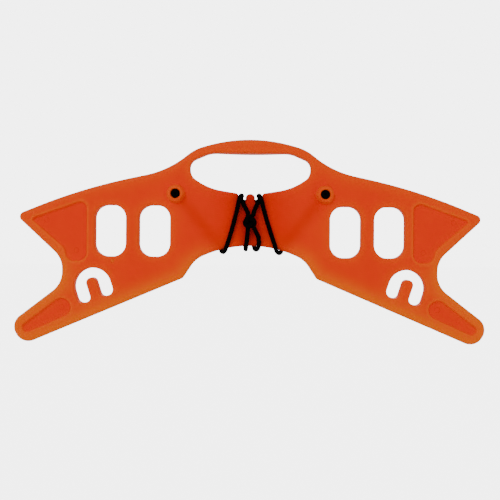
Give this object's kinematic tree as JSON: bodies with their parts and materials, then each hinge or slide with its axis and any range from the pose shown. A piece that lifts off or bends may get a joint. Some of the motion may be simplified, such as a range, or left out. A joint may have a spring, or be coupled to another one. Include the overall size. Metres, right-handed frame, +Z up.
{
  "type": "carrying yoke",
  "caption": "Flat moulded rescue carrying yoke with a hand grip, strap slots, horseshoe hook slots, forked ends and a knotted elastic cord round its waist",
  "frame": {"origin": "the middle of the grip bar, on the plane of symmetry and of mid-thickness, where a hand holds the yoke up", "axes": "X runs along the span to the right as seen from the front, Z is up, and the front face with the bosses and the knot faces -Y"},
  "size_m": [0.4684, 0.0323, 0.2022],
  "materials": {
    "orange_plastic": "injection-moulded signal-orange thermoplastic, slightly translucent, semi-gloss on the faces and lighter along thin edges",
    "cord_braid": "black braided textile sheath of an elastic cord, matt",
    "cord_rubber": "natural rubber strands inside the sheath, matt"
  },
  "bodies": {
    "root": {"yoke_plate": "orange_plastic", "right_cord_sheath": "cord_braid", "right_cord_core": "cord_rubber", "left_cord_sheath": "cord_braid", "left_cord_core": "cord_rubber", "tongue_loop_sheath": "cord_braid", "tongue_loop_core": "cord_rubber", "centre_knot": "cord_braid", "right_stopper_knot": "cord_braid", "left_stopper_knot": "cord_braid"}
  },
  "joints": []
}
